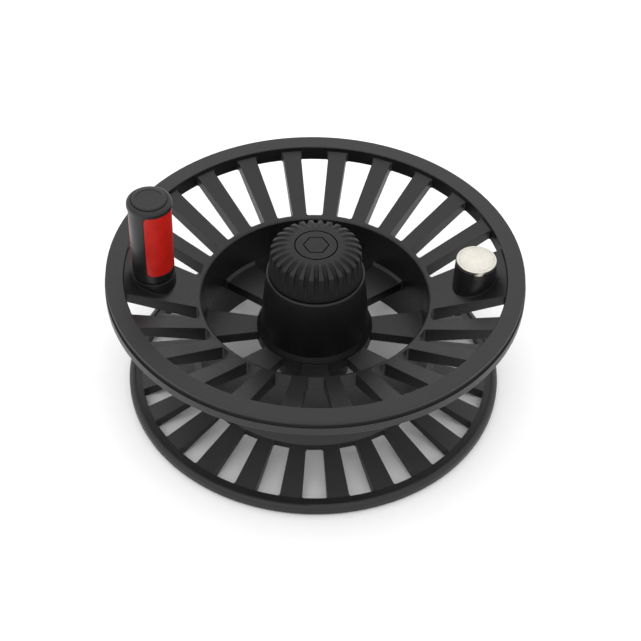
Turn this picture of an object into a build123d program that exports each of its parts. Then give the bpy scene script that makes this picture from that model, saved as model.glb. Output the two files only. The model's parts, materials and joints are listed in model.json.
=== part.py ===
from build123d import *
from math import radians
import os

os.makedirs("parts", exist_ok=True)

# A fly reel's line spool, in millimetres. It stands on its frame-side flange: z is the spool's axis and z = 0
# is the face it rests on. The handle is at -X and the counterweight at +X.

# ---- driving dimensions ----
RIM_RADIUS = 45.0
RIM_BORE = 41.15
RIM_TOP = 33.1
RIM_HEIGHT = 3.6
PITCHES = 24
HANDLE_X = -34.8
WEIGHT_X = 34.4
SPINDLE_RADIUS = 4.0

# ---- rim ----
RIM_LIP = 0.2
GROOVE_TOP = RIM_TOP - 0.45
GROOVE_BOTTOM = RIM_TOP - 1.75
GROOVE_DEPTH = 0.25
RIM_BOTTOM = RIM_TOP - RIM_HEIGHT
EDGE = 0.35

# ---- front web, dished towards its throat ----
WEB_ROOT = 25.8
THROAT_RADIUS = 25.2
WEB_RISE = 6.3
WEB_OUTER_TOP = RIM_TOP - 1.25
WEB_INNER_TOP = WEB_OUTER_TOP - WEB_RISE
WEB_OUTER_UNDER = RIM_BOTTOM
WEB_ROOT_THICKNESS = 3.6
WEB_INNER_UNDER = WEB_INNER_TOP - WEB_ROOT_THICKNESS
WINDOW_INNER_WIDTH = 3.5
WINDOW_OUTER_WIDTH = 7.3
WINDOW_CORNER = 0.45

# ---- line barrel and inner spider ----
BARREL_RADIUS = 25.6
BARREL_BORE = 24.3
BARREL_FLARE = 2.0
SPIDER_TOP = 15.9
SPIDER_THICKNESS = 2.4
SPIDER_SPOKES = 8
SPOKE_INNER_WIDTH = 4.8
SPOKE_OUTER_WIDTH = 9.2
SPOKE_COVE = 0.6

# ---- frame-side flange ----
FLANGE_RADIUS = 41.7
FLANGE_THICKNESS = 2.4
FLANGE_INNER_TOP = 5.9
FLANGE_RISE = 5.4
FLANGE_WINDOW_INNER = 27.0
FLANGE_WINDOW_OUTER = 38.8
FLANGE_INNER_WIDTH = 3.5
FLANGE_OUTER_WIDTH = 5.85
FLANGE_BEAD = 1.3
BEAD_HEIGHT = 0.35

# ---- hub ----
HUB_TOP = RIM_TOP - 1.35
HUB_TOP_RADIUS = 10.7
HUB_BASE_RADIUS = 12.1
HUB_FOOT_RADIUS = 12.75
HUB_FOOT_HEIGHT = 1.5
COLLAR_BORE = 10.2
COLLAR_FLOOR = HUB_TOP - 1.25
PLATE_UNDER = COLLAR_FLOOR - 2.2
BOSS_RADIUS = 7.9
BOSS_BOTTOM = 3.2
HUB_WALL = 1.7
HOUSING_RADIUS = 6.0
CIRCLIP_BOTTOM = 4.0
CIRCLIP_DEPTH = 0.5

# ---- release knob ----
KNOB_TOP = RIM_TOP + 6.2
KNOB_FACE_RADIUS = 5.9
KNOB_SHOULDER_RADIUS = 9.7
KNOB_SHOULDER = RIM_TOP + 4.8
KNOB_SKIRT_RADIUS = 10.08
KNOB_SKIRT_TOP = HUB_TOP + 0.45
KNOB_WALL = 1.7
KNOB_DOME = 0.15
KNOB_BEND_RADIUS = 8.1
KNOB_BEND = KNOB_TOP - 0.38
KNOB_CROWN = 1.4
KNOB_SOCKET_WALL = 1.4
KNOB_SOCKET_LIFT = 0.6
FLUTES = 28
FLUTE_RADIUS = 0.56
SCREW_RADIUS = 3.0
THREAD_RADIUS = 2.5
WASHER_THICKNESS = 0.3
HEAD_RADIUS = 4.3
HEAD_THICKNESS = 2.2
CLIP_RADIUS = 4.8
CLIP_THICKNESS = 0.7
CLIP_PLAY = 0.2
CLIP_MOUTH = 4.0
SEAL_GROOVE = 1.2
SEAL_WIDTH = 0.84
SEAL_CORNER = 0.2
SHANK_END = 0.8
SCREW_TIP = 22.4
TIP_CHAMFER = 0.5
MARK_RADIUS = 4.7
MARK_WIDTH = 0.32
MARK_DEPTH = 0.3
HEXAGON_RADIUS = 2.9

# ---- feet of the handle boss and the counterweight cup, on the line side ----
FOOT_RADIUS = 4.3
FOOT_DROP = 0.6
FOOT_HEIGHT = 2.6
NUT_POCKET_DEPTH = 2.7
SCREW_POCKET_DEPTH = 1.9

# ---- handle ----
HANDLE_BOSS_RADIUS = 4.7
HANDLE_BOSS_TOP = RIM_TOP - 1.6
GRIP_BASE_RADIUS = 4.5
GRIP_TOP_RADIUS = 4.6
GRIP_TOP = RIM_TOP + 18.45
GRIP_HEAD_RADIUS = 4.82
GRIP_HEAD_BOTTOM = GRIP_TOP - 1.3
GRIP_EDGE = 0.7
CAP_RADIUS = 3.7
CAP_SEAT = GRIP_TOP - 1.1
CAP_TOP = GRIP_TOP + 0.35
CAP_RIM = 0.7
CAP_DISH = 0.15
INLAY_BOTTOM = RIM_TOP + 0.75
INLAY_TOP = GRIP_HEAD_BOTTOM - 0.1
INLAY_SPAN = 120
INLAY_DEPTH = 0.8
INLAY_CORNER = 1.2
INLAY_GAP = 0.08
INLAY_TURN = -43
PIN_RADIUS = 2.0
PIN_SEAT = 1.8
PIN_HEAD_RADIUS = 2.75
PIN_HEAD_HEIGHT = 1.4
PIN_HEAD_SPACE = 0.3
PIN_HEAD_ROOM = 0.7
PIN_CHAMFER = 0.3
PIN_SLOT_WIDTH = 0.8
PIN_SLOT_DEPTH = 0.6
TAIL_RADIUS = 1.5
TAIL_PROUD = 0.2
NUT_ACROSS_FLATS = 5.5
NUT_THICKNESS = 2.2
NUT_POCKET_RADIUS = 3.3
NUT_CHAMFER = 0.2
HANDLE_WASHER = 0.4
HANDLE_WASHER_RADIUS = 3.9
SLEEVE_RADIUS = 2.95
SLEEVE_LENGTH = 4.5

# ---- counterweight ----
CUP_RADIUS = 4.45
CUP_TOP = RIM_TOP + 1.95
CUP_FLARE = 0.2
SLUG_RADIUS = 4.33
SLUG_TOP = RIM_TOP + 2.55
SLUG_STEM_RADIUS = 3.95
SLUG_LENGTH = 6.1
SCREW_SHANK = 1.5
SCREW_HEAD = 2.8
SCREW_HEAD_HEIGHT = 1.6
CROSS_LENGTH = 3.0
CROSS_WIDTH = 0.7
CROSS_DEPTH = 0.9
TURNING_RINGS = 7
TURNING_WIDTH = 0.12
TURNING_DEPTH = 0.06
NOTCH_WIDTH = 2.3
NOTCH_DEPTH = 1.3
NOTCH_TURN = -84

# ---- spindle bearings ----
BEARING_BOTTOM = 6.4
BEARING_LENGTH = 10.0
CUP_WALL = 0.48
LIP_CLEARANCE = 0.5
CAGE_WALL = 0.88
CAGE_INSET = 0.9
CAGE_END = 0.55
ROLLER_RADIUS = 0.75
ROLLER_PLAY = 0.01
ROLLER_SLACK = 0.05
ROLLERS = 14
BUSHING_LENGTH = 5.0
SEAL_BOTTOM = 4.8
SEAL_WALL = 0.8
SEAL_WEB = 0.7
SEAL_LIP = 0.4
CIRCLIP_WIDTH = 1.0
CIRCLIP_GAP = 3.0

# ---- fits ----
RUNNING = 0.04
FREE = 0.12


def web_top(radius):
    """Height of the dished web's upper face at a radius."""
    share = (radius - WEB_ROOT) / (RIM_BORE - WEB_ROOT)
    return WEB_INNER_TOP + WEB_RISE * share


def web_under(radius):
    """Height of the dished web's line-side face at a radius."""
    share = (radius - WEB_ROOT) / (RIM_BORE - WEB_ROOT)
    return WEB_INNER_UNDER + (WEB_OUTER_UNDER - WEB_INNER_UNDER) * share


def wedge(inner_radius, outer_radius, inner_width, outer_width):
    """Corner points of a radial slot that widens outwards."""
    return [
        (inner_radius, -inner_width / 2),
        (outer_radius, -outer_width / 2),
        (outer_radius, outer_width / 2),
        (inner_radius, inner_width / 2),
    ]


def save(piece, name):
    """Label a finished piece and write its STEP file."""
    piece.part.label = name
    export_step(piece.part, f"parts/{name}.step")


# ---- spool body: rim, web, barrel, spider, hub and flange in one casting ----
handle_foot = web_under(-HANDLE_X) - FOOT_DROP
nut_seat = handle_foot + NUT_POCKET_DEPTH
weight_foot = web_under(WEIGHT_X) - FOOT_DROP
screw_seat = weight_foot + SCREW_POCKET_DEPTH
slug_seat = CUP_TOP - SLUG_LENGTH
hub_slope = (HUB_BASE_RADIUS - HUB_TOP_RADIUS) / (HUB_TOP - SPIDER_TOP)
foot_top = SPIDER_TOP + HUB_FOOT_HEIGHT
spider_under = SPIDER_TOP - SPIDER_THICKNESS

with BuildPart() as spool_body:
    # palming rim with a groove under its top face
    with BuildSketch(Plane.XZ) as rim_section:
        with BuildLine():
            Polyline(
                (RIM_BORE, RIM_BOTTOM),
                (RIM_BORE, RIM_TOP),
                (RIM_RADIUS, RIM_TOP),
                (RIM_RADIUS, GROOVE_TOP),
                (RIM_RADIUS - GROOVE_DEPTH, GROOVE_TOP),
                (RIM_RADIUS - GROOVE_DEPTH, GROOVE_BOTTOM),
                (RIM_RADIUS + RIM_LIP, GROOVE_BOTTOM),
                (RIM_RADIUS + RIM_LIP, RIM_BOTTOM),
                close=True,
            )
        make_face()
        top_corners = rim_section.vertices().group_by(Axis.Y)[-1]
        lip_corners = rim_section.vertices().group_by(Axis.X)[-1]
        fillet(top_corners, EDGE / 2)
        fillet(lip_corners, EDGE)
    revolve(axis=Axis.Z)

    # dished web, before its windows are cut
    with BuildSketch(Plane.XZ):
        with BuildLine():
            Polyline(
                (THROAT_RADIUS, WEB_INNER_UNDER),
                (THROAT_RADIUS, web_top(THROAT_RADIUS)),
                (RIM_BORE + EDGE, web_top(RIM_BORE + EDGE)),
                (RIM_BORE + EDGE, RIM_BOTTOM),
                (RIM_BORE, RIM_BOTTOM),
                (WEB_ROOT, WEB_INNER_UNDER),
                close=True,
            )
        make_face()
    revolve(axis=Axis.Z)
    with BuildSketch(Plane.XY.offset(WEB_INNER_UNDER - 1)) as web_windows:
        with PolarLocations(0, PITCHES, start_angle=90):
            Polygon(
                *wedge(THROAT_RADIUS, RIM_RADIUS, WINDOW_INNER_WIDTH, WINDOW_OUTER_WIDTH),
                align=None,
            )
        Circle(RIM_BORE, mode=Mode.INTERSECT)
        Circle(WEB_ROOT, mode=Mode.SUBTRACT)
        with Locations((HANDLE_X, 0), (WEIGHT_X, 0)):
            Rectangle(2 * (RIM_BORE - WEB_ROOT), WINDOW_OUTER_WIDTH, mode=Mode.SUBTRACT)
        fillet(web_windows.vertices(), WINDOW_CORNER)
    extrude(amount=RIM_TOP, mode=Mode.SUBTRACT)

    # line barrel, set in under the web's root, with a throat that narrows towards the spider
    with BuildSketch(Plane.XZ):
        with BuildLine():
            Polyline(
                (BARREL_BORE, FLANGE_INNER_TOP),
                (BARREL_BORE, spider_under),
                (BARREL_BORE - SPOKE_COVE, spider_under),
                (BARREL_BORE - SPOKE_COVE, SPIDER_TOP),
                (BARREL_BORE, SPIDER_TOP + SPOKE_COVE),
                (THROAT_RADIUS - EDGE, web_top(THROAT_RADIUS) - EDGE),
                (THROAT_RADIUS, web_top(THROAT_RADIUS)),
                (WEB_ROOT, WEB_INNER_TOP),
                (WEB_ROOT, WEB_INNER_UNDER),
                (BARREL_RADIUS, WEB_INNER_UNDER),
                (BARREL_RADIUS, FLANGE_INNER_TOP + BARREL_FLARE),
                (FLANGE_WINDOW_INNER, FLANGE_INNER_TOP),
                close=True,
            )
        make_face()
    revolve(axis=Axis.Z)

    # frame-side flange with its beaded edge and windows
    with BuildSketch(Plane.XZ) as flange_section:
        with BuildLine():
            Polyline(
                (BARREL_BORE, FLANGE_RISE),
                (BARREL_BORE, FLANGE_INNER_TOP),
                (FLANGE_WINDOW_INNER, FLANGE_INNER_TOP),
                (FLANGE_WINDOW_OUTER, FLANGE_THICKNESS),
                (FLANGE_RADIUS - FLANGE_BEAD, FLANGE_THICKNESS),
                (FLANGE_RADIUS - FLANGE_BEAD, FLANGE_THICKNESS + BEAD_HEIGHT),
                (FLANGE_RADIUS, FLANGE_THICKNESS + BEAD_HEIGHT),
                (FLANGE_RADIUS, 0),
                (FLANGE_WINDOW_OUTER, 0),
                close=True,
            )
        make_face()
        fillet(flange_section.vertices().group_by(Axis.X)[-1], FLANGE_BEAD * 0.75)
    revolve(axis=Axis.Z)
    with BuildSketch(Plane.XY) as flange_windows:
        with PolarLocations(0, PITCHES, start_angle=90):
            Polygon(
                *wedge(WEB_ROOT, FLANGE_RADIUS, FLANGE_INNER_WIDTH, FLANGE_OUTER_WIDTH),
                align=None,
            )
        Circle(FLANGE_WINDOW_OUTER, mode=Mode.INTERSECT)
        Circle(FLANGE_WINDOW_INNER, mode=Mode.SUBTRACT)
        fillet(flange_windows.vertices(), WINDOW_CORNER)
    extrude(amount=FLANGE_INNER_TOP + 1, mode=Mode.SUBTRACT)

    # spider floor inside the barrel
    with BuildSketch(Plane.XY.offset(spider_under)):
        Circle(BARREL_BORE + EDGE)
    extrude(amount=SPIDER_THICKNESS)
    with BuildSketch(Plane.XY.offset(spider_under)) as spider_windows:
        Circle(BARREL_BORE)
        Circle(HUB_FOOT_RADIUS, mode=Mode.SUBTRACT)
        with PolarLocations(0, SPIDER_SPOKES):
            Polygon(
                *wedge(HUB_BASE_RADIUS, THROAT_RADIUS, SPOKE_INNER_WIDTH, SPOKE_OUTER_WIDTH),
                align=None,
                mode=Mode.SUBTRACT,
            )
        fillet(spider_windows.vertices(), WINDOW_CORNER)
    extrude(amount=SPIDER_THICKNESS + SPOKE_COVE, mode=Mode.SUBTRACT)

    # tapered hub with a foot, its core boss below the floor, and its cavities
    with BuildSketch(Plane.XZ):
        with BuildLine():
            Polyline(
                (0, spider_under),
                (HUB_FOOT_RADIUS, spider_under),
                (HUB_FOOT_RADIUS, SPIDER_TOP + EDGE),
                (HUB_BASE_RADIUS - hub_slope * HUB_FOOT_HEIGHT, foot_top),
                (HUB_TOP_RADIUS, HUB_TOP - EDGE),
                (HUB_TOP_RADIUS - EDGE / 2, HUB_TOP),
                (0, HUB_TOP),
                close=True,
            )
        make_face()
    revolve(axis=Axis.Z)
    with BuildSketch(Plane.XY.offset(BOSS_BOTTOM)):
        Circle(BOSS_RADIUS)
    extrude(amount=SPIDER_TOP - BOSS_BOTTOM)
    with BuildSketch(Plane.XZ):
        with BuildLine():
            Polyline(
                (BOSS_RADIUS, spider_under),
                (BOSS_RADIUS, PLATE_UNDER),
                (HUB_TOP_RADIUS - HUB_WALL, PLATE_UNDER),
                (HUB_BASE_RADIUS - HUB_WALL, spider_under),
                close=True,
            )
        make_face()
    revolve(axis=Axis.Z, mode=Mode.SUBTRACT)
    with BuildSketch(Plane.XZ):
        with BuildLine():
            Polyline(
                (0, BOSS_BOTTOM),
                (HOUSING_RADIUS, BOSS_BOTTOM),
                (HOUSING_RADIUS, CIRCLIP_BOTTOM),
                (HOUSING_RADIUS + CIRCLIP_DEPTH, CIRCLIP_BOTTOM),
                (HOUSING_RADIUS + CIRCLIP_DEPTH, SEAL_BOTTOM),
                (HOUSING_RADIUS, SEAL_BOTTOM),
                (HOUSING_RADIUS, PLATE_UNDER),
                (SCREW_RADIUS + RUNNING, PLATE_UNDER),
                (SCREW_RADIUS + RUNNING, COLLAR_FLOOR),
                (COLLAR_BORE, COLLAR_FLOOR),
                (COLLAR_BORE, HUB_TOP),
                (0, HUB_TOP),
                close=True,
            )
        make_face()
    revolve(axis=Axis.Z, mode=Mode.SUBTRACT)

    # handle boss on the front pad, with its foot on the line side
    with BuildSketch(Plane.XY.offset(handle_foot)):
        with Locations((HANDLE_X, 0)):
            Circle(FOOT_RADIUS)
    extrude(amount=FOOT_HEIGHT)
    with BuildSketch(Plane.XY.offset(nut_seat)):
        with Locations((HANDLE_X, 0)):
            Circle(HANDLE_BOSS_RADIUS)
    extrude(amount=HANDLE_BOSS_TOP - nut_seat)
    with Locations((HANDLE_X, 0, HANDLE_BOSS_TOP)):
        CounterBoreHole(TAIL_RADIUS, PIN_RADIUS, PIN_SEAT, depth=HANDLE_BOSS_TOP - handle_foot)
    with BuildSketch(Plane.XY.offset(handle_foot)):
        with Locations((HANDLE_X, 0)):
            Circle(NUT_POCKET_RADIUS)
    extrude(amount=nut_seat - handle_foot, mode=Mode.SUBTRACT)

    # counterweight cup on the other pad, with its foot and a pry notch in its lip
    with BuildSketch(Plane.XY.offset(weight_foot)):
        with Locations((WEIGHT_X, 0)):
            Circle(FOOT_RADIUS)
    extrude(amount=FOOT_HEIGHT)
    with BuildSketch(Plane.XY.offset(screw_seat)):
        with Locations((WEIGHT_X, 0)):
            Circle(CUP_RADIUS + CUP_FLARE)
    with BuildSketch(Plane.XY.offset(CUP_TOP)):
        with Locations((WEIGHT_X, 0)):
            Circle(CUP_RADIUS)
    loft()
    with Locations((WEIGHT_X, 0, CUP_TOP)):
        CounterBoreHole(SCREW_SHANK, SLUG_STEM_RADIUS, SLUG_LENGTH, depth=CUP_TOP - weight_foot)
    with BuildSketch(Plane.XY.offset(weight_foot)):
        with Locations((WEIGHT_X, 0)):
            Circle(SCREW_HEAD + FREE)
    extrude(amount=screw_seat - weight_foot, mode=Mode.SUBTRACT)
    with BuildSketch(Plane.XY.offset(CUP_TOP)):
        with Locations(Location((WEIGHT_X, 0), NOTCH_TURN)):
            Rectangle(CUP_RADIUS + 1, NOTCH_WIDTH, align=(Align.MIN, Align.CENTER))
    extrude(amount=-NOTCH_DEPTH, mode=Mode.SUBTRACT)
save(spool_body, "spool_body")

# ---- handle: pin, nut, washer, sleeves, grip, inlays and cap ----
grip_bottom = HANDLE_BOSS_TOP + HANDLE_WASHER
pin_bottom = HANDLE_BOSS_TOP - PIN_SEAT
sleeve_top = CAP_SEAT - PIN_HEAD_HEIGHT - PIN_HEAD_ROOM
tail_bottom = nut_seat - NUT_THICKNESS - TAIL_PROUD
handle_axis = Plane.XZ.shift_origin((HANDLE_X, 0, 0))


def grip_radius(height):
    """Radius of the tapered grip at a height."""
    share = (height - grip_bottom) / (GRIP_HEAD_BOTTOM - grip_bottom)
    return GRIP_BASE_RADIUS + (GRIP_TOP_RADIUS - GRIP_BASE_RADIUS) * share


def inlay_shell(turn, grow):
    """One curved inlay panel, facing turn degrees from +X and grown all round its edge."""
    low = INLAY_BOTTOM - grow
    high = INLAY_TOP + grow
    span = INLAY_SPAN + 2 * grow / radians(GRIP_TOP_RADIUS)
    with BuildPart() as shell:
        with BuildSketch(handle_axis):
            with BuildLine():
                Polyline(
                    (grip_radius(low) - INLAY_DEPTH, low),
                    (grip_radius(low), low),
                    (grip_radius(high), high),
                    (grip_radius(high) - INLAY_DEPTH, high),
                    close=True,
                )
            make_face()
        revolve(axis=Axis((HANDLE_X, 0, 0), (0, 0, 1)), revolution_arc=span)
        fillet(shell.edges().filter_by(GeomType.LINE).filter_by(lambda e: e.length < 2), INLAY_CORNER)
    return shell.part.rotate(Axis((HANDLE_X, 0, 0), (0, 0, 1)), turn - span / 2)


with BuildPart() as handle_pin:
    with BuildSketch(Plane.XY.offset(tail_bottom)):
        with Locations((HANDLE_X, 0)):
            Circle(TAIL_RADIUS)
    extrude(amount=pin_bottom - tail_bottom)
    with BuildSketch(Plane.XY.offset(pin_bottom)):
        with Locations((HANDLE_X, 0)):
            Circle(PIN_RADIUS)
    extrude(amount=sleeve_top + RUNNING - pin_bottom)
    with BuildSketch(Plane.XY.offset(sleeve_top + RUNNING)):
        with Locations((HANDLE_X, 0)):
            Circle(PIN_HEAD_RADIUS)
    extrude(amount=PIN_HEAD_HEIGHT)
    chamfer(handle_pin.edges().group_by(Axis.Z)[-1], PIN_CHAMFER)
    chamfer(handle_pin.edges().group_by(Axis.Z)[0], PIN_CHAMFER)
    with BuildSketch(handle_pin.faces().sort_by(Axis.Z)[-1]):
        Rectangle(2 * PIN_HEAD_RADIUS, PIN_SLOT_WIDTH)
    extrude(amount=-PIN_SLOT_DEPTH, mode=Mode.SUBTRACT)
save(handle_pin, "handle_pin")

with BuildPart() as handle_nut:
    with BuildSketch(Plane.XY.offset(nut_seat)):
        with Locations((HANDLE_X, 0)):
            RegularPolygon(NUT_ACROSS_FLATS / 2, 6, major_radius=False)
            Circle(TAIL_RADIUS, mode=Mode.SUBTRACT)
    extrude(amount=-NUT_THICKNESS)
    chamfer(handle_nut.edges().group_by(Axis.Z)[0].filter_by(GeomType.LINE), NUT_CHAMFER)
save(handle_nut, "handle_nut")

with BuildPart() as handle_washer:
    with BuildSketch(Plane.XY.offset(HANDLE_BOSS_TOP)):
        with Locations((HANDLE_X, 0)):
            Circle(HANDLE_WASHER_RADIUS)
            Circle(PIN_RADIUS + FREE, mode=Mode.SUBTRACT)
    extrude(amount=HANDLE_WASHER)
save(handle_washer, "handle_washer")

for sleeve_name, sleeve_bottom in (
    ("handle_sleeve_lower", grip_bottom),
    ("handle_sleeve_upper", sleeve_top - SLEEVE_LENGTH),
):
    with BuildPart() as sleeve:
        with BuildSketch(Plane.XY.offset(sleeve_bottom)):
            with Locations((HANDLE_X, 0)):
                Circle(SLEEVE_RADIUS)
                Circle(PIN_RADIUS + RUNNING, mode=Mode.SUBTRACT)
        extrude(amount=SLEEVE_LENGTH)
    save(sleeve, sleeve_name)

with BuildPart() as handle_grip:
    with BuildSketch(handle_axis) as grip_section:
        with BuildLine():
            Polyline(
                (SLEEVE_RADIUS, grip_bottom),
                (GRIP_BASE_RADIUS, grip_bottom),
                (GRIP_TOP_RADIUS, GRIP_HEAD_BOTTOM),
                (GRIP_HEAD_RADIUS, GRIP_HEAD_BOTTOM),
                (GRIP_HEAD_RADIUS, GRIP_TOP),
                (CAP_RADIUS + FREE, GRIP_TOP),
                (CAP_RADIUS + FREE, CAP_SEAT),
                (PIN_HEAD_RADIUS + PIN_HEAD_SPACE, CAP_SEAT),
                (PIN_HEAD_RADIUS + PIN_HEAD_SPACE, sleeve_top),
                (SLEEVE_RADIUS, sleeve_top),
                close=True,
            )
        make_face()
        head_corners = grip_section.vertices().group_by(Axis.X)[-1].sort_by(Axis.Y)
        fillet(head_corners[-1], GRIP_EDGE)
        fillet(head_corners[0], EDGE / 2)
    revolve(axis=Axis((HANDLE_X, 0, 0), (0, 0, 1)))
    add(inlay_shell(INLAY_TURN, INLAY_GAP), mode=Mode.SUBTRACT)
    add(inlay_shell(INLAY_TURN + 180, INLAY_GAP), mode=Mode.SUBTRACT)
save(handle_grip, "handle_grip")

for inlay_name, inlay_turn in (("handle_inlay_front", INLAY_TURN), ("handle_inlay_rear", INLAY_TURN + 180)):
    with BuildPart() as inlay:
        add(inlay_shell(inlay_turn, 0))
    save(inlay, inlay_name)

with BuildPart() as handle_cap:
    with BuildSketch(handle_axis) as cap_section:
        with BuildLine():
            Polyline(
                (0, CAP_SEAT),
                (CAP_RADIUS, CAP_SEAT),
                (CAP_RADIUS, CAP_TOP),
                (CAP_RADIUS - CAP_RIM, CAP_TOP),
                (CAP_RADIUS - CAP_RIM - CAP_DISH, CAP_TOP - CAP_DISH),
                (0, CAP_TOP - CAP_DISH),
                close=True,
            )
        make_face()
        fillet(cap_section.vertices().group_by(Axis.Y)[-1].sort_by(Axis.X)[-1], EDGE)
    revolve(axis=Axis((HANDLE_X, 0, 0), (0, 0, 1)))
save(handle_cap, "handle_cap")

# ---- counterweight slug and its screw ----
weight_axis = Plane.XZ.shift_origin((WEIGHT_X, 0, 0))
screw_top = slug_seat + SLUG_LENGTH / 2

with BuildPart() as counterweight:
    with BuildSketch(weight_axis) as slug_section:
        with BuildLine():
            Polyline(
                (SCREW_SHANK, slug_seat),
                (SLUG_STEM_RADIUS, slug_seat),
                (SLUG_STEM_RADIUS, CUP_TOP),
                (SLUG_RADIUS, CUP_TOP),
                (SLUG_RADIUS, SLUG_TOP),
                (0, SLUG_TOP),
                (0, screw_top),
                (SCREW_SHANK, screw_top),
                close=True,
            )
        make_face()
        fillet(slug_section.vertices().group_by(Axis.X)[-1].sort_by(Axis.Y)[-1], EDGE / 2)
    revolve(axis=Axis((WEIGHT_X, 0, 0), (0, 0, 1)))
    # fine turning rings on the face
    with BuildSketch(Plane.XY.offset(SLUG_TOP)):
        with Locations((WEIGHT_X, 0)):
            for ring in range(TURNING_RINGS):
                ring_radius = (ring + 1) * SLUG_RADIUS / (TURNING_RINGS + 1)
                Circle(ring_radius)
                Circle(ring_radius - TURNING_WIDTH, mode=Mode.SUBTRACT)
    extrude(amount=-TURNING_DEPTH, mode=Mode.SUBTRACT)
save(counterweight, "counterweight")

with BuildPart() as counterweight_screw:
    with BuildSketch(Plane.XY.offset(screw_seat)):
        with Locations((WEIGHT_X, 0)):
            Circle(SCREW_HEAD)
    extrude(amount=-SCREW_HEAD_HEIGHT)
    fillet(counterweight_screw.edges().group_by(Axis.Z)[0], EDGE)
    with BuildSketch(Plane.XY.offset(screw_seat)):
        with Locations((WEIGHT_X, 0)):
            Circle(SCREW_SHANK)
    extrude(amount=screw_top - screw_seat)
    with BuildSketch(Plane.XY.offset(screw_seat - SCREW_HEAD_HEIGHT)):
        with Locations((WEIGHT_X, 0)):
            Rectangle(CROSS_LENGTH, CROSS_WIDTH)
            Rectangle(CROSS_WIDTH, CROSS_LENGTH)
    extrude(amount=CROSS_DEPTH, mode=Mode.SUBTRACT)
save(counterweight_screw, "counterweight_screw")

# ---- release knob with its captive screw, clip, seal and washer ----
washer_top = COLLAR_FLOOR + WASHER_THICKNESS
head_top = KNOB_SHOULDER - KNOB_CROWN
head_bottom = head_top - HEAD_THICKNESS
socket_radius = HEAD_RADIUS + KNOB_SOCKET_WALL
socket_bottom = washer_top + KNOB_SOCKET_LIFT
clip_top = PLATE_UNDER - CLIP_PLAY
clip_bottom = clip_top - CLIP_THICKNESS
seal_level = (PLATE_UNDER + COLLAR_FLOOR) / 2

with BuildPart() as release_knob:
    with BuildSketch(Plane.XZ) as knob_section:
        with BuildLine():
            apex = (0, KNOB_TOP + KNOB_DOME)
            face_edge = (KNOB_FACE_RADIUS, KNOB_TOP)
            shoulder = (KNOB_SHOULDER_RADIUS, KNOB_SHOULDER)
            TangentArc(apex, face_edge, tangent=(1, 0))
            ThreePointArc(face_edge, (KNOB_BEND_RADIUS, KNOB_BEND), shoulder)
            Polyline(
                shoulder,
                (KNOB_SKIRT_RADIUS, KNOB_SKIRT_TOP),
                (KNOB_SKIRT_RADIUS, washer_top),
                (KNOB_SKIRT_RADIUS - KNOB_WALL, washer_top),
                (KNOB_SHOULDER_RADIUS - KNOB_WALL, head_top),
                (socket_radius, head_top),
                (socket_radius, socket_bottom),
                (SCREW_RADIUS, socket_bottom),
                (SCREW_RADIUS, head_bottom),
                (HEAD_RADIUS, head_bottom),
                (HEAD_RADIUS, head_top),
                (0, head_top),
                apex,
            )
        make_face()
        fillet(knob_section.vertices().sort_by_distance(shoulder)[0], EDGE)
    revolve(axis=Axis.Z)
    # finger flutes over the shoulder, fading out above the skirt
    with BuildPart(mode=Mode.PRIVATE) as flute:
        with BuildLine() as flute_path:
            Spline(
                (KNOB_FACE_RADIUS - 0.1, 0, KNOB_TOP + FLUTE_RADIUS + 0.02),
                (KNOB_FACE_RADIUS + 1.6, 0, KNOB_TOP - 0.02),
                (KNOB_SHOULDER_RADIUS - 0.45, 0, KNOB_SHOULDER + 0.25),
                (KNOB_SHOULDER_RADIUS + 0.1, 0, KNOB_SHOULDER - 1.0),
                (KNOB_SKIRT_RADIUS + FLUTE_RADIUS, 0, KNOB_SKIRT_TOP + 0.6),
                tangents=((1, 0, -0.3), (0.25, 0, -1)),
            )
        with BuildSketch(Plane(flute_path.line @ 0, z_dir=flute_path.line % 0)):
            Circle(FLUTE_RADIUS)
        sweep()
    with PolarLocations(0, FLUTES, start_angle=90):
        add(flute.part, mode=Mode.SUBTRACT)
    # plain engraved mark: a ring and a hexagon
    with BuildSketch(Plane.XY.offset(KNOB_TOP - MARK_DEPTH)):
        Circle(MARK_RADIUS)
        Circle(MARK_RADIUS - MARK_WIDTH, mode=Mode.SUBTRACT)
        RegularPolygon(HEXAGON_RADIUS, 6)
        RegularPolygon(HEXAGON_RADIUS - MARK_WIDTH, 6, mode=Mode.SUBTRACT)
    extrude(amount=MARK_DEPTH + KNOB_DOME + EDGE, mode=Mode.SUBTRACT)
save(release_knob, "release_knob")

with BuildPart() as knob_screw:
    with BuildSketch(Plane.XZ):
        with BuildLine():
            Polyline(
                (0, head_top),
                (HEAD_RADIUS, head_top),
                (HEAD_RADIUS, head_bottom),
                (SCREW_RADIUS, head_bottom),
                (SCREW_RADIUS, seal_level + SEAL_GROOVE / 2),
                (THREAD_RADIUS, seal_level + SEAL_GROOVE / 2),
                (THREAD_RADIUS, seal_level - SEAL_GROOVE / 2),
                (SCREW_RADIUS, seal_level - SEAL_GROOVE / 2),
                (SCREW_RADIUS, clip_top),
                (THREAD_RADIUS, clip_top),
                (THREAD_RADIUS, clip_bottom),
                (SCREW_RADIUS, clip_bottom),
                (SCREW_RADIUS, clip_bottom - SHANK_END),
                (THREAD_RADIUS, clip_bottom - SHANK_END),
                (THREAD_RADIUS, SCREW_TIP + TIP_CHAMFER),
                (THREAD_RADIUS - TIP_CHAMFER, SCREW_TIP),
                (0, SCREW_TIP),
                close=True,
            )
        make_face()
    revolve(axis=Axis.Z)
save(knob_screw, "knob_screw")

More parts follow.
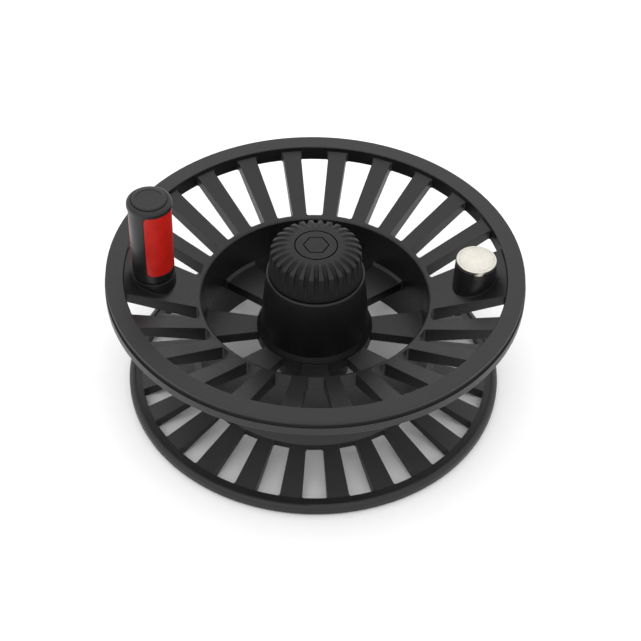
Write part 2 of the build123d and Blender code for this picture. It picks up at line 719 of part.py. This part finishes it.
with BuildPart() as knob_clip:
    with BuildSketch(Plane.XY.offset(clip_bottom)):
        Circle(CLIP_RADIUS)
        Circle(THREAD_RADIUS, mode=Mode.SUBTRACT)
        with Locations((CLIP_RADIUS, 0)):
            Rectangle(2 * (CLIP_RADIUS - SCREW_RADIUS / 2), CLIP_MOUTH, mode=Mode.SUBTRACT)
    extrude(amount=CLIP_THICKNESS)
save(knob_clip, "knob_clip")

with BuildPart() as knob_seal:
    with BuildSketch(Plane.XZ) as seal_section:
        with Locations(((THREAD_RADIUS + SCREW_RADIUS + RUNNING) / 2, seal_level)):
            RectangleRounded(SCREW_RADIUS + RUNNING - THREAD_RADIUS, SEAL_WIDTH, SEAL_CORNER)
    revolve(axis=Axis.Z)
save(knob_seal, "knob_seal")

with BuildPart() as knob_washer:
    with BuildSketch(Plane.XY.offset(COLLAR_FLOOR)):
        Circle(KNOB_SKIRT_RADIUS)
        Circle(KNOB_SKIRT_RADIUS - KNOB_WALL, mode=Mode.SUBTRACT)
    extrude(amount=WASHER_THICKNESS)
save(knob_washer, "knob_washer")

# ---- spindle bushing, needle bearing, seal and circlip inside the hub ----
bearing_top = BEARING_BOTTOM + BEARING_LENGTH
cup_bore = HOUSING_RADIUS - CUP_WALL
lip_radius = SPINDLE_RADIUS + LIP_CLEARANCE
cage_radius = cup_bore - FREE
cage_length = BEARING_LENGTH - 2 * CAGE_INSET
pocket_length = cage_length - 2 * CAGE_END
roller_circle = SPINDLE_RADIUS + ROLLER_RADIUS + ROLLER_PLAY
roller_length = pocket_length - 2 * ROLLER_SLACK
pocket_bottom = BEARING_BOTTOM + CAGE_INSET + CAGE_END

with BuildPart() as hub_bushing:
    with BuildSketch(Plane.XY.offset(bearing_top)):
        Circle(HOUSING_RADIUS)
        Circle(SPINDLE_RADIUS + RUNNING, mode=Mode.SUBTRACT)
    extrude(amount=BUSHING_LENGTH)
save(hub_bushing, "hub_bushing")

with BuildPart() as bearing_shell:
    with BuildSketch(Plane.XZ):
        with BuildLine():
            Polyline(
                (lip_radius, BEARING_BOTTOM),
                (HOUSING_RADIUS, BEARING_BOTTOM),
                (HOUSING_RADIUS, bearing_top),
                (lip_radius, bearing_top),
                (lip_radius, bearing_top - CUP_WALL),
                (cup_bore, bearing_top - CUP_WALL),
                (cup_bore, BEARING_BOTTOM + CUP_WALL),
                (lip_radius, BEARING_BOTTOM + CUP_WALL),
                close=True,
            )
        make_face()
    revolve(axis=Axis.Z)
save(bearing_shell, "bearing_shell")

with BuildPart() as bearing_cage:
    with BuildSketch(Plane.XY.offset(BEARING_BOTTOM + CAGE_INSET)):
        Circle(cage_radius)
        Circle(cage_radius - CAGE_WALL, mode=Mode.SUBTRACT)
    extrude(amount=cage_length)
    with BuildSketch(Plane.XY.offset(pocket_bottom)):
        with PolarLocations(roller_circle, ROLLERS):
            Rectangle(4 * ROLLER_RADIUS, 2 * (ROLLER_RADIUS + RUNNING))
    extrude(amount=pocket_length, mode=Mode.SUBTRACT)
save(bearing_cage, "bearing_cage")

with BuildPart() as bearing_rollers:
    with BuildSketch(Plane.XY.offset(pocket_bottom + ROLLER_SLACK)):
        with PolarLocations(roller_circle, ROLLERS):
            Circle(ROLLER_RADIUS)
    extrude(amount=roller_length)
save(bearing_rollers, "bearing_rollers")

with BuildPart() as hub_seal:
    with BuildSketch(Plane.XZ):
        with BuildLine():
            Polyline(
                (SPINDLE_RADIUS + RUNNING, SEAL_BOTTOM),
                (HOUSING_RADIUS, SEAL_BOTTOM),
                (HOUSING_RADIUS, BEARING_BOTTOM),
                (HOUSING_RADIUS - SEAL_WALL, BEARING_BOTTOM),
                (HOUSING_RADIUS - SEAL_WALL, SEAL_BOTTOM + SEAL_WEB),
                (lip_radius, SEAL_BOTTOM + SEAL_WEB),
                (SPINDLE_RADIUS + RUNNING, SEAL_BOTTOM + SEAL_LIP),
                close=True,
            )
        make_face()
    revolve(axis=Axis.Z)
save(hub_seal, "hub_seal")

with BuildPart() as hub_circlip:
    with BuildSketch(Plane.XY.offset(CIRCLIP_BOTTOM)):
        Circle(HOUSING_RADIUS + CIRCLIP_DEPTH)
        Circle(HOUSING_RADIUS - CIRCLIP_WIDTH, mode=Mode.SUBTRACT)
        with Locations((HOUSING_RADIUS, 0)):
            Rectangle(3 * CIRCLIP_WIDTH, CIRCLIP_GAP, mode=Mode.SUBTRACT)
    extrude(amount=SEAL_BOTTOM - CIRCLIP_BOTTOM)
save(hub_circlip, "hub_circlip")
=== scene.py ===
import json
import math

import bpy
from mathutils import Matrix, Vector


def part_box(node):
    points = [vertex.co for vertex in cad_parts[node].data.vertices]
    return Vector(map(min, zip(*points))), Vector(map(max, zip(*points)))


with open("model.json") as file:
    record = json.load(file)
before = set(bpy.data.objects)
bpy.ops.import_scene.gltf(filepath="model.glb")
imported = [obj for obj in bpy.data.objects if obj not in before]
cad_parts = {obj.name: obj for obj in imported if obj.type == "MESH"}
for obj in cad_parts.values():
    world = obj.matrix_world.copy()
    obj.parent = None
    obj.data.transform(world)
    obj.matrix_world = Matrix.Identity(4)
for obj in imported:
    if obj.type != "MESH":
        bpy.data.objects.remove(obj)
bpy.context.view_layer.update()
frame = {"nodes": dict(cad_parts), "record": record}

# Lengths are in metres, in the frame of the CAD model: the spool's axis is Z and it stands on z = 0.
MM = 0.001
RIM_TOP = 33.1 * MM

# Camera: where it looks, from how far, and how it is tilted. The lens and the sensor are in millimetres.
LOOK_AT = Vector((0.9 * MM, -16.5 * MM, RIM_TOP))
CAMERA_DISTANCE = 353.4 * MM
CAMERA_ELEVATION = math.radians(44.3)
CAMERA_AZIMUTH = math.radians(-1.4)
CAMERA_ROLL = math.radians(1.375)
CAMERA_LENS = 95.5
CAMERA_SENSOR = 36.0
CAMERA_NEAR = 10 * MM

# Floor: plain pale paper with a trace of tooth.
FLOOR_SIZE = 6.0
PAPER_TOOTH = 3.0 * MM
PAPER_DARK = (0.94, 0.94, 0.94)
PAPER_LIGHT = (0.96, 0.96, 0.96)

# Light: an even white tent all round, and one square soft box overhead that faces the spool.
TENT_STRENGTH = 1.3
SOFT_BOX_PLACE = Vector((-0.2, -0.35, 1.1))
SOFT_BOX_TARGET = Vector((0.0, 0.0, 20 * MM))
SOFT_BOX_SIZE = 0.9
SOFT_BOX_WATTS = 1.5

# Noise outputs gather round 0.5. These are the ends of the band that most of the values fall in.
NOISE_LOW = 0.3
NOISE_HIGH = 0.7

# Rays that each point sends out to find the edges and corners near it.
SHADING_RAYS = 6

# Cosine between the true normal and the rounded one, on a flat face and on a sharp edge.
FLAT = 0.99
SHARP = 0.75

# Share of a point's surroundings that is open, in an inner corner and on an outer edge.
INNER_CORNER = 0.75
OUTER_EDGE = 0.95

# The same share on an open face and deep in a groove.
OPEN_FACE = 0.95
GROOVE = 0.45


# ---------------------------------------------------------------- node graph helpers

def shade(colour, factor):
    """The colour with its brightness multiplied by factor."""
    return [min(1.0, channel * factor) for channel in colour]


class Shader:
    """A node material being built: one Principled BSDF and the nodes that feed it."""

    def __init__(self, name):
        self.material = bpy.data.materials.new(name)
        self.material.use_nodes = True
        self.tree = self.material.node_tree
        self.bsdf = self.tree.nodes["Principled BSDF"]
        self.place = self.node("ShaderNodeTexCoord").outputs["Object"]

    def node(self, kind, **settings):
        made = self.tree.nodes.new(kind)
        for key, value in settings.items():
            setattr(made, key, value)
        return made

    def feed(self, socket, value):
        """Links value to socket if it is another node's output, and writes it in if it is a plain value."""
        if isinstance(value, bpy.types.NodeSocket):
            self.tree.links.new(value, socket)
        else:
            socket.default_value = value

    def set(self, **values):
        """Feeds the Principled BSDF. Underscores in a name stand for spaces."""
        for key, value in values.items():
            self.feed(self.bsdf.inputs[key.replace("_", " ")], value)

    def math(self, operation, a, b):
        made = self.node("ShaderNodeMath", operation=operation)
        self.feed(made.inputs[0], a)
        self.feed(made.inputs[1], b)
        return made.outputs[0]

    def times(self, a, b):
        return self.math("MULTIPLY", a, b)

    def add(self, first, *others):
        total = first
        for other in others:
            total = self.math("ADD", total, other)
        return total

    def vector(self, operation, a, b=(0.0, 0.0, 0.0)):
        made = self.node("ShaderNodeVectorMath", operation=operation)
        self.feed(made.inputs[0], a)
        self.feed(made.inputs[1], b)
        scalar = operation in ("DOT_PRODUCT", "LENGTH")
        return made.outputs["Value" if scalar else "Vector"]

    def stretch(self, factors, centre=(0.0, 0.0, 0.0)):
        """The object's coordinates, moved to a centre and scaled along each axis."""
        moved = self.vector("SUBTRACT", self.place, centre)
        return self.vector("MULTIPLY", moved, factors)

    def noise(self, size, detail=3.0, roughness=0.55, at=None):
        """Noise whose features are about size metres across, from 0 to 1."""
        made = self.node("ShaderNodeTexNoise")
        self.feed(made.inputs["Vector"], self.place if at is None else at)
        self.feed(made.inputs["Scale"], 1 / size)
        self.feed(made.inputs["Detail"], detail)
        self.feed(made.inputs["Roughness"], roughness)
        return made.outputs["Fac"]

    def ramp(self, value, start, end, out_start=0.0, out_end=1.0):
        """Maps start..end to out_start..out_end, held at both ends."""
        made = self.node("ShaderNodeMapRange")
        for socket, number in zip(made.inputs, (value, start, end, out_start, out_end)):
            self.feed(socket, number)
        return made.outputs["Result"]

    def spread(self, noise, low=0.0, high=1.0):
        """Stretches a noise output over low..high."""
        return self.ramp(noise, NOISE_LOW, NOISE_HIGH, low, high)

    def mix(self, factor, a, b):
        made = self.node("ShaderNodeMix", data_type="RGBA")
        self.feed(made.inputs["Factor"], factor)
        for socket, colour in ((made.inputs["A"], a), (made.inputs["B"], b)):
            self.feed(socket, colour if isinstance(colour, bpy.types.NodeSocket) else (*colour, 1.0))
        return made.outputs["Result"]

    def mottle(self, noise, colour, dark, light):
        """The colour made uneven by noise: its brightness goes from dark to light times its own."""
        return self.mix(self.spread(noise), shade(colour, dark), shade(colour, light))

    def cover(self, tone, colour, where, strength):
        """Lays colour over tone where the mask is 1, at the given strength."""
        return self.mix(self.times(where, strength), tone, colour)

    def soft_normal(self, radius):
        """The surface normal with every sharp edge rounded to the given radius."""
        made = self.node("ShaderNodeBevel", samples=SHADING_RAYS)
        self.feed(made.inputs["Radius"], radius)
        return made.outputs["Normal"]

    def openness(self, reach):
        """Share of the surroundings that is open within reach, from 0 to 1."""
        made = self.node("ShaderNodeAmbientOcclusion", samples=SHADING_RAYS)
        self.feed(made.inputs["Distance"], reach)
        return made.outputs["AO"]

    def edges(self, radius):
        """1 along outer edges, falling to 0 on flat faces and in inner corners."""
        true_normal = self.node("ShaderNodeNewGeometry").outputs["Normal"]
        agreement = self.vector("DOT_PRODUCT", self.soft_normal(radius), true_normal)
        edge = self.ramp(agreement, FLAT, SHARP)
        outer = self.ramp(self.openness(2 * radius), INNER_CORNER, OUTER_EDGE)
        return self.times(edge, outer)

    def crevices(self, depth):
        """1 deep in grooves about depth metres across, 0 on open faces."""
        return self.ramp(self.openness(depth), OPEN_FACE, GROOVE)

    def bump(self, layers, edge_radius):
        """Rounds the edges and lays (height output, depth in metres) layers over them."""
        normal = self.soft_normal(edge_radius)
        for height, depth in layers:
            made = self.node("ShaderNodeBump")
            self.feed(made.inputs["Height"], height)
            self.feed(made.inputs["Distance"], depth)
            self.feed(made.inputs["Strength"], 1.0)
            self.feed(made.inputs["Normal"], normal)
            normal = made.outputs["Normal"]
        self.set(Normal=normal)


# ---------------------------------------------------------------- materials

def coated_casting(name, base, worn):
    """Satin black coat: fine orange peel and grit, uneven sheen, thin paler wear on outer edges."""
    roughness = 0.42
    uneven = 0.045
    polish = -0.12
    s = Shader(name)
    grit = s.noise(size=0.16 * MM, detail=2.0)
    peel = s.noise(size=0.9 * MM)
    cloud = s.noise(size=14 * MM, detail=4.0)
    rubbed = s.spread(s.noise(size=3.0 * MM, detail=5.0))
    wear = s.times(s.edges(radius=0.28 * MM), rubbed)
    specks = s.ramp(grit, start=0.62, end=0.78)
    tone = s.mottle(cloud, base, dark=0.82, light=1.15)
    tone = s.cover(tone, shade(base, 1.9), where=specks, strength=0.45)
    tone = s.cover(tone, worn, where=wear, strength=0.55)
    cloudy = s.spread(cloud, -uneven, uneven)
    peeled = s.spread(peel, -uneven, uneven)
    sheen = s.add(roughness, cloudy, peeled, s.times(wear, polish))
    s.set(Base_Color=tone, Roughness=sheen, Specular_IOR_Level=0.44)
    s.bump([(grit, 0.011 * MM), (peel, 0.02 * MM)], edge_radius=0.22 * MM)
    return s.material


def gloss_moulding(name, base):
    """Polished moulded plastic with faint waviness, finger haze and hairline scuffs."""
    roughness = 0.31
    scuffs_per_mm = 2.6
    scuff_length = 10.0
    s = Shader(name)
    wave = s.noise(size=2.4 * MM, detail=2.0)
    haze = s.noise(size=5.5 * MM, detail=5.0, roughness=0.65)
    lengthways = s.stretch((1.0, 1.0, 1 / scuff_length))
    hairlines = s.noise(size=MM / scuffs_per_mm, detail=2.0, at=lengthways)
    scuffed = s.ramp(hairlines, start=0.66, end=0.72)
    tone = s.mottle(haze, base, dark=1.0, light=1.7)
    sheen = s.add(roughness, s.spread(haze, -0.05, 0.13), s.times(scuffed, 0.1))
    s.set(Base_Color=tone, Roughness=sheen, Specular_IOR_Level=0.3)
    s.set(Coat_Weight=0.1, Coat_Roughness=0.12)
    s.bump([(wave, 0.006 * MM), (scuffed, 0.002 * MM)], edge_radius=0.18 * MM)
    return s.material


def red_insert(name, base, dirt):
    """Dyed soft plastic: even red, a little deeper where handled, edges slightly dirtied."""
    red_glow = (1.0, 0.25, 0.12)
    s = Shader(name)
    grain = s.noise(size=0.22 * MM)
    cloud = s.noise(size=3.2 * MM, detail=4.0)
    tone = s.mottle(cloud, base, dark=0.86, light=1.1)
    tone = s.cover(tone, dirt, where=s.edges(radius=0.45 * MM), strength=0.5)
    s.set(Base_Color=tone, Roughness=s.spread(cloud, 0.34, 0.46), Specular_IOR_Level=0.3)
    s.set(Subsurface_Weight=0.08, Subsurface_Scale=0.6 * MM, Subsurface_Radius=red_glow)
    s.set(Coat_Weight=0.1, Coat_Roughness=0.25)
    s.bump([(grain, 0.006 * MM), (cloud, 0.012 * MM)], edge_radius=0.2 * MM)
    return s.material


def matte_moulding(name, base, worn):
    """Spark-eroded moulded plastic: fine even stipple, rubbed along the ribs, with painted shade darkening
    the grooves between them.
    """
    polish = -0.14
    open_specular = 0.34
    shaded_groove_specular = 0.06
    s = Shader(name)
    stipple = s.noise(size=0.13 * MM, detail=2.0)
    cloud = s.noise(size=4.0 * MM, detail=4.0)
    wear = s.edges(radius=0.3 * MM)
    # Mask for the painted shade deep in the grooves between the ribs.
    painted_groove_shade = s.crevices(depth=0.9 * MM)
    tone = s.mottle(stipple, base, dark=0.8, light=1.25)
    tone = s.cover(tone, worn, where=wear, strength=0.5)
    # Painted shade: the grooves are darkened in colour.
    tone = s.mix(painted_groove_shade, tone, shade(base, 0.25))
    sheen = s.add(s.spread(cloud, 0.5, 0.62), s.times(wear, polish))
    # Painted shade: reflection is dimmed in the grooves.
    specular = s.ramp(painted_groove_shade, 0.0, 1.0, open_specular, shaded_groove_specular)
    s.set(Base_Color=tone, Roughness=sheen, Specular_IOR_Level=specular)
    s.bump([(stipple, 0.012 * MM), (cloud, 0.01 * MM)], edge_radius=0.16 * MM)
    return s.material


def turned_metal(name, base, node, ring):
    """Bright metal faced on a lathe: fine rings about the node's own axis, and a painted highlight that
    makes the face brighter in the middle.
    """
    lowest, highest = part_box(node)
    centre = (lowest + highest) / 2
    face_radius = highest.x - centre.x
    s = Shader(name)
    radius = s.vector("LENGTH", s.stretch((1.0, 1.0, 0.0), centre))
    outwards = s.node("ShaderNodeCombineXYZ")
    s.feed(outwards.inputs["X"], radius)
    rings = s.noise(size=ring, detail=4.0, roughness=0.7, at=outwards.outputs["Vector"])
    stain = s.noise(size=2.6 * MM, detail=5.0)
    # Painted highlight: the face is lighter at its middle and darker towards its edge.
    tone = s.mix(s.ramp(radius, 0.0, face_radius), shade(base, 1.16), shade(base, 0.9))
    tone = s.cover(tone, shade(base, 0.75), where=s.ramp(stain, 0.45, 0.75), strength=0.5)
    tone = s.cover(tone, shade(base, 0.55), where=s.ramp(rings, 0.5, 0.75), strength=0.3)
    sheen = s.add(s.spread(rings, 0.17, 0.3), s.ramp(stain, 0.5, 0.8, out_end=0.12))
    tangent = s.node("ShaderNodeTangent", direction_type="RADIAL", axis="Z").outputs["Tangent"]
    s.set(Base_Color=tone, Metallic=1.0, Roughness=sheen, Anisotropic=0.65, Tangent=tangent)
    s.bump([(rings, 0.006 * MM)], edge_radius=0.12 * MM)
    return s.material


def plain_metal(name, base, roughness, drawn, size):
    """Machined metal: lines drawn round the axis, light staining, brighter rubbed edges."""
    s = Shader(name)
    lines = s.noise(size, detail=4.0, roughness=0.65, at=s.stretch((1.0, 1.0, drawn)))
    stain = s.noise(size=3.0 * MM, detail=5.0)
    tone = s.mix(s.ramp(stain, 0.4, 0.75), base, shade(base, 0.72))
    tone = s.cover(tone, shade(base, 1.25), where=s.edges(radius=0.15 * MM), strength=0.6)
    drawn_sheen = s.spread(lines, roughness - 0.06, roughness + 0.08)
    sheen = s.add(drawn_sheen, s.ramp(stain, 0.5, 0.8, out_end=0.1))
    s.set(Base_Color=tone, Metallic=1.0, Roughness=sheen)
    s.bump([(lines, 0.004 * MM)], edge_radius=0.1 * MM)
    return s.material


def soft_polymer(name, base, roughness, speckle, glow):
    """Cut or moulded polymer: mottled tone, open grain, soft edges."""
    uneven = 0.08
    s = Shader(name)
    grain = s.noise(size=0.2 * MM, detail=4.0)
    cloud = s.noise(size=2.5 * MM)
    tone = s.mottle(cloud, base, dark=0.85, light=1.0)
    tone = s.cover(tone, shade(base, 0.55), where=s.ramp(grain, 0.55, 0.75), strength=speckle)
    s.set(Base_Color=tone, Roughness=s.spread(grain, roughness - uneven, roughness + uneven))
    s.set(Subsurface_Weight=glow, Subsurface_Scale=0.5 * MM)
    s.bump([(grain, 0.01 * MM)], edge_radius=0.1 * MM)
    return s.material


CAST_BLACK = (0.0052, 0.0052, 0.0055)
GRIP_BLACK = (0.0055, 0.0055, 0.006)
KNOB_BLACK = (0.0058, 0.0058, 0.0062)
WORN_GREY = (0.028, 0.028, 0.029)
RED = (0.42, 0.008, 0.004)
DIRTY_RED = (0.1, 0.008, 0.006)
TURNED = (0.68, 0.65, 0.58)
STEEL = (0.56, 0.56, 0.57)
BRONZE = (0.56, 0.37, 0.17)
NYLON = (0.74, 0.72, 0.66)
RUBBER = (0.012, 0.012, 0.012)

# One finish for each material slot of the record.
finishes = {
    "black_casting": coated_casting("satin_black_coat", CAST_BLACK, WORN_GREY),
    "black_grip": gloss_moulding("gloss_black_moulding", GRIP_BLACK),
    "red_inlay": red_insert("red_insert", RED, DIRTY_RED),
    "black_knob": matte_moulding("matte_black_moulding", KNOB_BLACK, WORN_GREY),
    "turned_metal": turned_metal("turned_bright_metal", TURNED, "counterweight", ring=0.16 * MM),
    "steel": plain_metal("machined_steel", STEEL, roughness=0.28, drawn=12.0, size=0.5 * MM),
    "bronze": plain_metal("sintered_bronze", BRONZE, roughness=0.42, drawn=1.0, size=0.16 * MM),
    "nylon": soft_polymer("natural_nylon", NYLON, roughness=0.48, speckle=0.15, glow=0.25),
    "seal_rubber": soft_polymer("nitrile_rubber", RUBBER, roughness=0.7, speckle=0.5, glow=0.0),
}

for part in frame["record"]["subparts"]:
    cad_object = frame["nodes"][part["node"]]
    cad_object.data.materials.clear()
    cad_object.data.materials.append(finishes[part["material_slot"]])


# ---------------------------------------------------------------- floor, light and camera

def add_object(name, data):
    """Puts the given mesh, light or camera into the scene."""
    made = bpy.data.objects.new(name, data)
    bpy.context.scene.collection.objects.link(made)
    return made


def make_floor():
    """A large square of paper at the spool's foot."""
    mesh = bpy.data.meshes.new("floor")
    half = FLOOR_SIZE / 2
    corners = [(-half, -half, 0), (half, -half, 0), (half, half, 0), (-half, half, 0)]
    mesh.from_pydata(corners, [], [(0, 1, 2, 3)])
    s = Shader("pale_floor")
    paper = s.mix(s.noise(PAPER_TOOTH), PAPER_DARK, PAPER_LIGHT)
    s.set(Base_Color=paper, Roughness=0.6, Specular_IOR_Level=0.2)
    mesh.materials.append(s.material)
    add_object("floor", mesh)


def make_tent():
    """Even white light from all round."""
    world = bpy.data.worlds.new("studio")
    world.use_nodes = True
    background = world.node_tree.nodes["Background"]
    background.inputs["Color"].default_value = (1.0, 1.0, 1.0, 1.0)
    background.inputs["Strength"].default_value = TENT_STRENGTH
    bpy.context.scene.world = world


def make_soft_box():
    light = bpy.data.lights.new("overhead", "AREA")
    light.size = SOFT_BOX_SIZE
    light.energy = SOFT_BOX_WATTS
    soft_box = add_object("overhead", light)
    soft_box.location = SOFT_BOX_PLACE
    aim = SOFT_BOX_TARGET - SOFT_BOX_PLACE
    soft_box.rotation_euler = aim.to_track_quat("-Z", "Y").to_euler()


def make_camera():
    lens = bpy.data.cameras.new("camera")
    lens.lens = CAMERA_LENS
    lens.sensor_width = CAMERA_SENSOR
    lens.clip_start = CAMERA_NEAR
    camera = add_object("camera", lens)
    back = Vector((0.0, -math.cos(CAMERA_ELEVATION), math.sin(CAMERA_ELEVATION)))
    back.rotate(Matrix.Rotation(CAMERA_AZIMUTH, 3, "Z"))
    aim = (-back).to_track_quat("-Z", "Y").to_matrix().to_4x4()
    roll = Matrix.Rotation(CAMERA_ROLL, 4, "Z")
    camera.matrix_world = Matrix.Translation(LOOK_AT + back * CAMERA_DISTANCE) @ aim @ roll
    bpy.context.scene.camera = camera


make_floor()
make_tent()
make_soft_box()
make_camera()
bpy.context.scene.view_settings.view_transform = "Standard"
